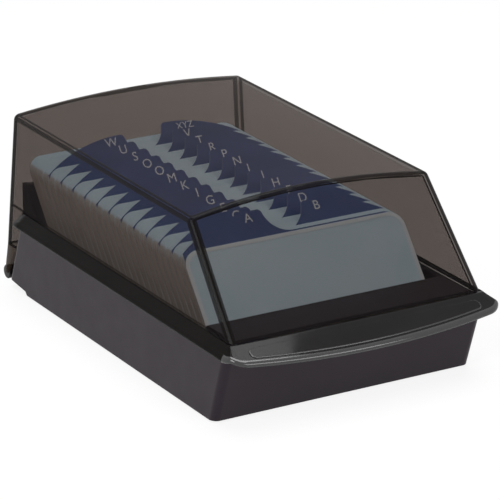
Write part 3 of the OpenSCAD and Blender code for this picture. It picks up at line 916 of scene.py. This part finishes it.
    def panel_outline(self) -> list[Point2]:
        """Outline of the raised panel: straight along the crease, bowed along the edge, round at its ends.

        Returns:
            Points in order.
        """
        half = self.panel_w / 2
        top = self.crease_y - self.panel_setback
        bow = self.lip_bow_r - self.panel_margin
        bow_y = self.crease_y - self.lip_out + self.lip_bow_r
        r = self.panel_end_r
        low_x = half - r
        low_y = bow_y - math.sqrt((bow - r) ** 2 - low_x ** 2)
        tilt = math.atan2(low_x, bow_y - low_y)
        end = arc((-low_x, top - r), r, QUARTER, math.pi, 10)
        end += arc((-low_x, low_y), r, math.pi, 3 * QUARTER - tilt, 10)
        edge = arc((0.0, bow_y), bow, -QUARTER - tilt, tilt - QUARTER, 40)[1:-1]
        return end + edge + [(-x, y) for x, y in reversed(end)]

    def build_panel(self) -> bpy.types.Object:
        """Builds the raised panel on the lip.

        Returns:
            The panel object.
        """
        outline = self.panel_outline()
        count = len(outline)
        slope = self.lip_drop / self.lip_out
        points: list[Point3] = []
        for lift in (-self.panel_sink, self.panel_t):
            for x, y in outline:
                points.append((x, y, self.crease_h - (self.crease_y - y) * slope + lift))
        faces: list[tuple[int, ...]] = [tuple(range(count, 2 * count)), tuple(reversed(range(count)))]
        for i in range(count):
            j = (i + 1) % count
            faces.append((i, j, count + j, count + i))
        mesh = mesh_of("lid_lip_panel", self.place(points), faces)
        with edited(mesh) as bm:
            face_out(bm)
        made = new_object("lid_lip_panel", mesh, [self.palette.get(n) for n in ("lip", "roll")])
        # The panel's rounds take the roll finish with its painted highlight.
        soften(made, 4, FlangeSlot.ROLL.value)
        smooth(made, 60.0)
        return made

    def build_skirt(self) -> bpy.types.Object:
        """Builds the rear skirt with its lug notches and its side wings.

        Returns:
            The skirt object.
        """
        half = self.side_x(self.flare_h)
        near, far = self.notch()
        xs = [-half, -far, -near, near, far, half]
        top = (self.rear_y(self.flare_h), self.flare_h)
        foot = (self.hinge_y + self.barrel_r - self.skirt_tuck, self.hinge_h + self.skirt_rise)
        middle = tuple(t + (f - t) * self.skirt_h_share for t, f in zip(top, foot))
        points: list[Point3] = [(x, y, z) for y, z in (top, middle, foot) for x in xs]
        count = len(xs)
        faces: list[tuple[int, ...]] = []
        for row in range(2):
            for i in range(count - 1):
                if row == 1 and i in (1, 3):
                    continue
                a, b = row * count + i, (row + 1) * count + i
                faces.append((a, b, b + 1, a + 1))
        wing_top = self.sizes.tray_rear_y(self.flare_h) + self.wing_gap
        wing_low = self.sizes.tray_rear_y(self.hinge_h) + self.wing_gap + self.wall
        for side, i in ((-1, 0), (1, count - 1)):
            first = len(points)
            points += [(side * half, wing_top, self.flare_h), (side * half, wing_low, self.hinge_h)]
            faces.append((i, first, first + 1, 2 * count + i, count + i))
        mesh = mesh_of("lid_skirt", self.place(points), faces)
        sharp = math.radians(60)
        with edited(mesh) as bm:
            face_out(bm, (0, 1, 0))
            corners = [e for e in bm.edges if len(e.link_faces) == 2 and e.calc_face_angle() > sharp]
            bmesh.ops.bevel(
                bm, geom=corners, offset=self.edge_r * MM, segments=8, profile=0.5, affect="EDGES")
        made = new_object("lid_skirt", mesh, [self.palette.get(n) for n in ("skirt", "inner")])
        thicken(made, self.wall, 1)
        smooth(made, 30.0)
        return made

    def build_barrel(self) -> bpy.types.Object:
        """Builds the hinge barrel, open where the tray's lugs sit.

        Returns:
            The barrel object.
        """
        end = self.side_x(self.flare_h) - self.barrel_inset
        near, far = self.notch()
        points: list[Point3] = []
        faces: list[tuple[int, ...]] = []
        turns = 40
        for x0, x1 in ((-end, -far), (-near, near), (far, end)):
            first = len(points)
            for x in (x0, x1):
                for i in range(turns):
                    a = 2 * math.pi * i / turns
                    y, z = self.barrel_r * math.cos(a), self.barrel_r * math.sin(a)
                    points.append((x, self.hinge_y + y, self.hinge_h + z))
            for i in range(turns):
                j = (i + 1) % turns
                faces.append((first + i, first + j, first + turns + j, first + turns + i))
            faces.append(tuple(first + i for i in reversed(range(turns))))
            faces.append(tuple(first + turns + i for i in range(turns)))
        mesh = mesh_of("lid_barrel", self.place(points), faces)
        with edited(mesh) as bm:
            face_out(bm)
        made = new_object("lid_barrel", mesh, [self.palette.get("lip")])
        soften(made, 3)
        smooth(made, 40.0)
        return made

    def build(self) -> None:
        """Builds all pieces of the lid and seats them on its body."""
        steps: list[Callable[[], bpy.types.Object]] = [
            self.build_cover,
            self.build_flange,
            self.build_panel,
            self.build_skirt,
            self.build_barrel,
        ]
        for step in steps:
            made = step()
            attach(made, "lid")
            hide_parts("lid")
            LOG.info("lid piece %s: %d faces", made.name, len(made.data.polygons))


@dataclass
class CardStack:
    """Row of sections: guides with printed letters and filled sleeves."""

    sizes: Sizes
    palette: Palette
    nodes: dict[str, bpy.types.Object]
    names: Sequence[str] = tuple("abcdefghijklmnopqrstuvw") + ("xyz",)
    first_pivot_y: float = 10.4
    last_pivot_y: float = 131.6
    pivot_h: float = 15.4
    lean_front: float = 38.4
    lean_rear: float = 38.0
    section_gap: float = 0.4
    sheet_gap: float = 0.12
    guide_t: float = 0.6
    sleeve_count: int = 5
    first_rise: float = 2.2
    card_w: float = 101.6
    card_top: float = 51.55
    corner_r: float = 7.0
    letter_x: float = 17.0
    narrow_x: float = 21.5
    letter_rise: float = 6.1
    letter_size: float = 5.5
    narrow_size: float = 4.2
    ink_lift: float = 0.015
    ink_t: float = 0.02
    rim_foot: float = 6.0
    rim_w: float = 1.55
    rim_t: float = 0.12
    rim_inset: float = 0.15
    rim_lift: float = 0.01

    @property
    def pitch(self) -> float:
        """Distance between two sections' pivots."""
        return (self.last_pivot_y - self.first_pivot_y) / (len(self.names) - 1)

    @property
    def section_t(self) -> float:
        """Thickness of a section."""
        return self.pitch * math.cos(math.radians(self.lean_front)) - self.section_gap

    @property
    def sleeve_t(self) -> float:
        """Thickness of a filled sleeve."""
        return (self.section_t - self.guide_t) / self.sleeve_count - self.sheet_gap

    def hang(self, index: int, ahead: float) -> float:
        """How far a sheet hangs up its plane from the section's pivot.

        Args:
            index: Section number.
            ahead: Distance of the sheet's middle ahead of the section's middle plane.

        Returns:
            Shift in millimetres, negative for sheets ahead of the middle.
        """
        return -ahead * math.tan(self.lean(index))

    def lean(self, index: int) -> float:
        """Lean of a section from upright, in radians."""
        step = (self.lean_rear - self.lean_front) / (len(self.names) - 1)
        return math.radians(self.lean_front + index * step)

    def tab_side(self, index: int) -> TabSide:
        """Side of a section's tab."""
        return TabSide.LEFT if index % 2 == 0 else TabSide.RIGHT

    def frame_at(self, index: int, across: float, up: float, ahead: float) -> Matrix:
        """Frame on a section's sheets.

        Args:
            index: Section number.
            across: Place along X in millimetres.
            up: Place up the card from the pivot.
            ahead: Distance ahead of the section's middle plane.

        Returns:
            A matrix whose X runs across, Y up the card and Z out of its front.
        """
        a = self.lean(index)
        rise = Vector((0.0, math.sin(a), math.cos(a)))
        front = Vector((0.0, -math.cos(a), math.sin(a)))
        pivot = Vector((across, self.first_pivot_y + index * self.pitch - self.sizes.middle_y, self.pivot_h))
        spot = (pivot + rise * up + front * ahead) * MM
        turn = Matrix(((1, 0, 0), rise, front)).transposed()
        return Matrix.Translation(spot) @ turn.to_4x4()

    def letter_mesh(self, text: str) -> bpy.types.Mesh:
        """Makes a thin printed letter in the built-in face.

        Args:
            text: Letter or letters.

        Returns:
            The letter's mesh, centred, in metres.
        """
        curve = bpy.data.curves.new("letter_" + text.lower(), "FONT")
        curve.body = text
        curve.size = (self.letter_size if len(text) == 1 else self.narrow_size) * MM
        curve.align_x = "CENTER"
        curve.align_y = "CENTER"
        curve.extrude = self.ink_t * MM
        curve.resolution_u = 6
        holder = bpy.data.objects.new(curve.name, curve)
        bpy.context.scene.collection.objects.link(holder)
        bpy.context.view_layer.update()
        graph = bpy.context.evaluated_depsgraph_get()
        mesh = bpy.data.meshes.new_from_object(holder.evaluated_get(graph))
        bpy.data.objects.remove(holder)
        bpy.data.curves.remove(curve)
        mesh.materials.clear()
        return mesh

    def build_letter(self, index: int) -> None:
        """Prints one guide's letter on its tab.

        Args:
            index: Section number.
        """
        name = self.names[index]
        mesh = self.letter_mesh(name.upper())
        across = self.tab_side(index).value * (self.letter_x if len(name) == 1 else self.narrow_x)
        up = self.card_top + self.letter_rise + self.hang(index, (self.section_t - self.guide_t) / 2)
        up += self.first_rise if index == 0 else 0.0
        mesh.transform(self.frame_at(index, across, up, self.section_t / 2 + self.ink_lift))
        made = new_object("letter_" + name, mesh, [self.palette.get("ink")])
        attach(made, "section_" + name)

    def rim_outline(self, inset: float) -> list[Point2]:
        """Outline of a sleeve's upper part.

        Args:
            inset: Distance inside the sleeve's edge.

        Returns:
            Points from the left foot over the top to the right foot.
        """
        half, top = self.card_w / 2 - inset, self.card_top - inset
        r = self.corner_r - inset
        left = [(-half, self.rim_foot), *arc((r - half, top - r), r, math.pi, QUARTER, 14)]
        return left + [(-x, y) for x, y in reversed(left)]

    def build_front_rim(self) -> None:
        """Builds the welded rim of the clear pocket in front; its paler finish also paints a highlight along
        the top edge.
        """
        outer, inner = self.rim_outline(self.rim_inset), self.rim_outline(self.rim_inset + self.rim_w)
        count = len(outer)
        ahead = self.section_t / 2 + self.sleeve_t + self.sheet_gap
        up = self.hang(0, ahead - self.sleeve_t / 2)
        points: list[Point3] = []
        for level, line in ((0.0, outer), (self.rim_t, outer), (self.rim_t, inner), (0.0, inner)):
            points += [(x, y, level) for x, y in line]
        faces: list[tuple[int, ...]] = []
        for band in range(3):
            for i in range(count - 1):
                a, b = band * count + i, (band + 1) * count + i
                faces.append((a, a + 1, b + 1, b))
        mesh = mesh_of("pocket_rim", points, faces)
        mesh.transform(self.frame_at(0, 0.0, up, ahead + self.rim_lift))
        with edited(mesh) as bm:
            face_out(bm)
        made = new_object("pocket_rim", mesh, [self.palette.get("rim")])
        smooth(made, 50.0)
        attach(made, "section_a")

    def build(self) -> None:
        """Dresses the sheets and prints the letters."""
        for name, node in self.nodes.items():
            if name.startswith("sleeves_"):
                dress(node, self.palette.get("sleeve"))
            elif name.startswith("guide_"):
                dress(node, self.palette.get("guide"))
        for index in range(len(self.names)):
            self.build_letter(index)
        self.build_front_rim()
        LOG.info("stack: %d lettered sections", len(self.names))


@dataclass
class Tray:
    """Fixed parts: tray, shelf, rails, backrest, pads and hinge pins."""

    palette: Palette
    nodes: dict[str, bpy.types.Object]
    moulded: Sequence[str] = ("base_tray", "front_shelf", "rail_left", "rail_right", "backrest")
    pads: str = "feet"
    pins: Sequence[str] = ("hinge_pin_left", "hinge_pin_right")

    def build(self) -> None:
        """Dresses the fixed parts."""
        for name in self.moulded:
            dress(self.nodes[name], self.palette.get("base"))
        dress(self.nodes[self.pads], self.palette.get("rubber"))
        for name in self.pins:
            dress(self.nodes[name], self.palette.get("steel"))
        LOG.info("tray: %d moulded parts", len(self.moulded))


@dataclass(frozen=True)
class Lamp:
    """One soft lamp aimed at the object."""

    name: str
    spot: Point3
    width: float
    height: float
    power: float

    def build(self, aim: Vector) -> None:
        """Makes the lamp.

        Args:
            aim: Point it faces.
        """
        data = bpy.data.lights.new(self.name, "AREA")
        data.shape = "RECTANGLE"
        data.size = self.width
        data.size_y = self.height
        data.energy = self.power
        lamp = bpy.data.objects.new(self.name, data)
        bpy.context.scene.collection.objects.link(lamp)
        lamp.location = self.spot
        lamp.rotation_euler = (aim - Vector(self.spot)).to_track_quat("-Z", "Y").to_euler()


@dataclass
class Studio:
    """Pale floor, soft lamps and the camera at the photograph's angle."""

    azimuth: float = -30.36
    elevation: float = 20.24
    spot: Point3 = (-0.6714, -1.1515, 0.5270)
    lens: float = 250.48
    aim: Point3 = (0.0, 0.0, 0.04)
    floor_half: float = 6.0
    floor_tone: Colour = (0.86, 0.86, 0.86)
    floor_gap: float = 0.00005
    floor_glow: float = 1.06
    floor_share: float = 0.8
    ambient: float = 0.2
    lamps: Sequence[Lamp] = (
        Lamp("lamp_left", (-1.3, -0.5, 1.0), 1.0, 0.8, 12.7),
        Lamp("lamp_front", (0.5, -1.6, 1.1), 1.2, 0.7, 8.2),
        Lamp("lamp_top", (0.1, 0.3, 1.7), 1.4, 1.2, 17.2),
    )

    def build_camera(self) -> None:
        """Makes the camera."""
        data = bpy.data.cameras.new("camera")
        data.sensor_width = 36.0
        data.lens = self.lens
        camera = bpy.data.objects.new("camera", data)
        bpy.context.scene.collection.objects.link(camera)
        a, e = math.radians(-self.azimuth), math.radians(self.elevation)
        ahead = Vector((math.sin(a) * math.cos(e), math.cos(a) * math.cos(e), -math.sin(e)))
        camera.location = self.spot
        camera.rotation_euler = ahead.to_track_quat("-Z", "Y").to_euler()
        bpy.context.scene.camera = camera

    def seen(self, g: Graph) -> bpy.types.NodeSocket:
        """Adds a factor that is 1 for rays that show the background.

        Args:
            g: Graph to add to.

        Returns:
            The factor socket.
        """
        path = g.add("ShaderNodeLightPath").outputs
        direct = g.math("MAXIMUM", path["Is Camera Ray"], path["Is Glossy Ray"])
        return g.math("MAXIMUM", direct, path["Is Transmission Ray"])

    def build_floor(self) -> None:
        """Makes the pale floor."""
        h = self.floor_half / MM
        z = -self.floor_gap / MM
        mesh = mesh_of("floor", [(-h, -h, z), (h, -h, z), (h, h, z), (-h, h, z)], [(0, 1, 2, 3)])
        material = bpy.data.materials.new("floor_pale")
        g = Graph(material)
        pale = g.add("ShaderNodeBsdfDiffuse", {"Color": rgba(self.floor_tone)})
        glow = g.add("ShaderNodeEmission", {"Color": (1.0, 1.0, 1.0, 1.0), "Strength": self.floor_glow})
        share = g.math("MULTIPLY", self.seen(g), self.floor_share)
        g.surface(g.add("ShaderNodeMixShader", {0: share, 1: pale.outputs[0], 2: glow.outputs[0]}))
        new_object("floor", mesh, [material])

    def build_world(self) -> None:
        """Makes the even surrounding light."""
        world = bpy.data.worlds.new("studio")
        bpy.context.scene.world = world
        g = Graph(world)
        strength = g.remap(self.seen(g), 0.0, 1.0, self.ambient, 1.0)
        g.surface(g.add("ShaderNodeBackground", {"Color": (1.0, 1.0, 1.0, 1.0), "Strength": strength}))

    def build(self) -> None:
        """Makes the whole studio."""
        self.build_camera()
        self.build_floor()
        self.build_world()
        for lamp in self.lamps:
            lamp.build(Vector(self.aim))
        bpy.context.scene.view_settings.view_transform = "Standard"
        LOG.info("studio: %d lamps", len(self.lamps))


def write_sizes() -> None:
    bpy.context.view_layer.update()


def main() -> None:
    """Loads the frame and builds every sub-assembly in order."""
    logging.basicConfig(level=logging.INFO, format="%(name)s: %(message)s")
    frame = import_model()
    palette = Palette(Finishes())
    sizes = Sizes()
    Studio().build()
    Tray(palette, frame["nodes"]).build()
    CardStack(sizes, palette, frame["nodes"]).build()
    Lid(sizes, palette).build()
    write_sizes()


if __name__ == "__main__":
    main()
